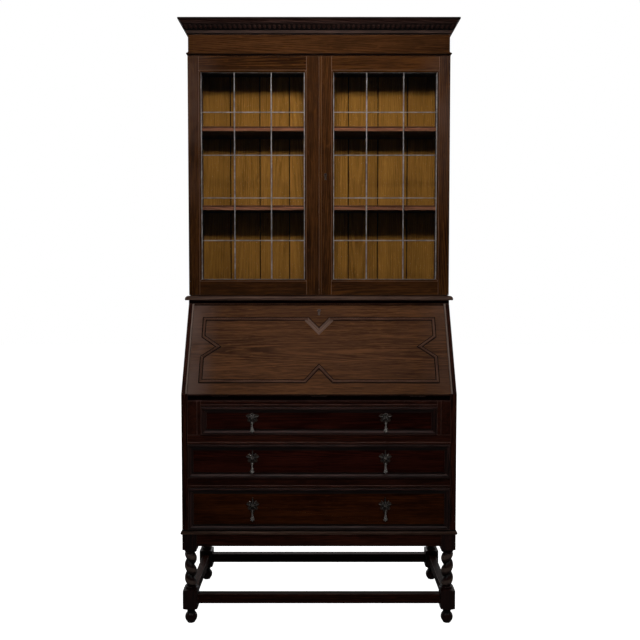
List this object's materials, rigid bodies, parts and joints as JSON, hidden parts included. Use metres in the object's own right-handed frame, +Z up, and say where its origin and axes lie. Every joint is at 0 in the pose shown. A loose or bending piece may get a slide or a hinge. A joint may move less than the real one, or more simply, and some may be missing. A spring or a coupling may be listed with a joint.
{
  "type": "bureau bookcase",
  "caption": "Tall dark oak writing bureau on a twist-leg stand, with drawers, a sloping fall front and a bookcase with leaded glass doors above.",
  "frame": {"origin": "middle of the footprint's box at floor level", "axes": "+Z up, +X to the right of a person who faces the front, +Y to the back"},
  "size_m": [0.977, 0.422, 2.0622],
  "materials": {
    "dark_oak": "dark stained oak, waxed",
    "oak_inside": "plain oak, lightly stained",
    "back_boards": "warm brown matched boards",
    "brass": "aged dark brass",
    "lead": "dull grey lead",
    "glass": "old clear sheet glass"
  },
  "bodies": {
    "carcase": {"front_left_leg": "dark_oak", "front_right_leg": "dark_oak", "rear_left_leg": "dark_oak", "rear_right_leg": "dark_oak", "stretchers": "dark_oak", "stand_rails": "dark_oak", "base_moulding": "dark_oak", "lower_left_side": "dark_oak", "lower_right_side": "dark_oak", "lower_back_panel": "oak_inside", "drawer_rails": "dark_oak", "drawer_runners": "oak_inside", "loper_partitions": "dark_oak", "writing_board": "oak_inside", "bureau_top": "dark_oak", "pigeonholes": "oak_inside", "upper_left_side": "dark_oak", "upper_right_side": "dark_oak", "upper_end_boards": "oak_inside", "upper_back_boards": "back_boards", "shelves": "oak_inside", "shelf_pegs": "brass", "waist_moulding": "dark_oak", "frieze": "dark_oak", "cornice": "dark_oak", "door_hinge_fixed_leaves": "brass", "fall_hinge_fixed_leaves": "brass"},
    "fall": {"fall_panel": "dark_oak", "fall_moulding": "dark_oak", "fall_lock": "brass", "fall_hinge_moving_leaves": "brass"},
    "left_loper": {"left_loper": "dark_oak"},
    "right_loper": {"right_loper": "dark_oak"},
    "top_drawer": {"top_drawer_front": "dark_oak", "top_drawer_box": "oak_inside", "top_drawer_moulding": "dark_oak", "top_drawer_plates": "brass"},
    "middle_drawer": {"middle_drawer_front": "dark_oak", "middle_drawer_box": "oak_inside", "middle_drawer_moulding": "dark_oak", "middle_drawer_plates": "brass"},
    "bottom_drawer": {"bottom_drawer_front": "dark_oak", "bottom_drawer_box": "oak_inside", "bottom_drawer_moulding": "dark_oak", "bottom_drawer_plates": "brass"},
    "top_left_drop": {"top_left_drop": "brass"},
    "top_right_drop": {"top_right_drop": "brass"},
    "middle_left_drop": {"middle_left_drop": "brass"},
    "middle_right_drop": {"middle_right_drop": "brass"},
    "bottom_left_drop": {"bottom_left_drop": "brass"},
    "bottom_right_drop": {"bottom_right_drop": "brass"},
    "left_door": {"left_door_frame": "dark_oak", "left_door_leading": "lead", "left_door_glass": "glass", "left_door_hinge_leaves": "brass"},
    "right_door": {"right_door_frame": "dark_oak", "right_door_leading": "lead", "right_door_glass": "glass", "right_door_hinge_leaves": "brass", "door_lock": "brass"}
  },
  "joints": [
    {"name": "fall_hinge", "type": "hinge", "parent": "carcase", "child": "fall", "pos_m": [0, -0.17583, 0.772], "axis": [1, 0, 0], "range_deg": [0, 118.59]},
    {"name": "left_loper_slide", "type": "slide", "parent": "carcase", "child": "left_loper", "axis": [0, -1, 0], "range_m": [0, 0.25]},
    {"name": "right_loper_slide", "type": "slide", "parent": "carcase", "child": "right_loper", "axis": [0, -1, 0], "range_m": [0, 0.25]},
    {"name": "top_drawer_slide", "type": "slide", "parent": "carcase", "child": "top_drawer", "axis": [0, -1, 0], "range_m": [0, 0.28]},
    {"name": "middle_drawer_slide", "type": "slide", "parent": "carcase", "child": "middle_drawer", "axis": [0, -1, 0], "range_m": [0, 0.28]},
    {"name": "bottom_drawer_slide", "type": "slide", "parent": "carcase", "child": "bottom_drawer", "axis": [0, -1, 0], "range_m": [0, 0.28]},
    {"name": "top_left_drop_swing", "type": "hinge", "parent": "top_drawer", "child": "top_left_drop", "pos_m": [-0.221, -0.2035, 0.6875], "axis": [-1, 0, 0], "range_deg": [0, 80]},
    {"name": "top_right_drop_swing", "type": "hinge", "parent": "top_drawer", "child": "top_right_drop", "pos_m": [0.221, -0.2035, 0.6875], "axis": [-1, 0, 0], "range_deg": [0, 80]},
    {"name": "middle_left_drop_swing", "type": "hinge", "parent": "middle_drawer", "child": "middle_left_drop", "pos_m": [-0.221, -0.2035, 0.5515], "axis": [-1, 0, 0], "range_deg": [0, 80]},
    {"name": "middle_right_drop_swing", "type": "hinge", "parent": "middle_drawer", "child": "middle_right_drop", "pos_m": [0.221, -0.2035, 0.5515], "axis": [-1, 0, 0], "range_deg": [0, 80]},
    {"name": "bottom_left_drop_swing", "type": "hinge", "parent": "bottom_drawer", "child": "bottom_left_drop", "pos_m": [-0.221, -0.2035, 0.391], "axis": [-1, 0, 0], "range_deg": [0, 80]},
    {"name": "bottom_right_drop_swing", "type": "hinge", "parent": "bottom_drawer", "child": "bottom_right_drop", "pos_m": [0.221, -0.2035, 0.391], "axis": [-1, 0, 0], "range_deg": [0, 80]},
    {"name": "left_door_hinge", "type": "hinge", "parent": "carcase", "child": "left_door", "pos_m": [-0.4575, -0.00115, 1.51918], "axis": [0, 0, -1], "range_deg": [0, 110]},
    {"name": "right_door_hinge", "type": "hinge", "parent": "carcase", "child": "right_door", "pos_m": [0.4575, -0.00115, 1.51918], "axis": [0, 0, 1], "range_deg": [0, 110]}
  ]
}
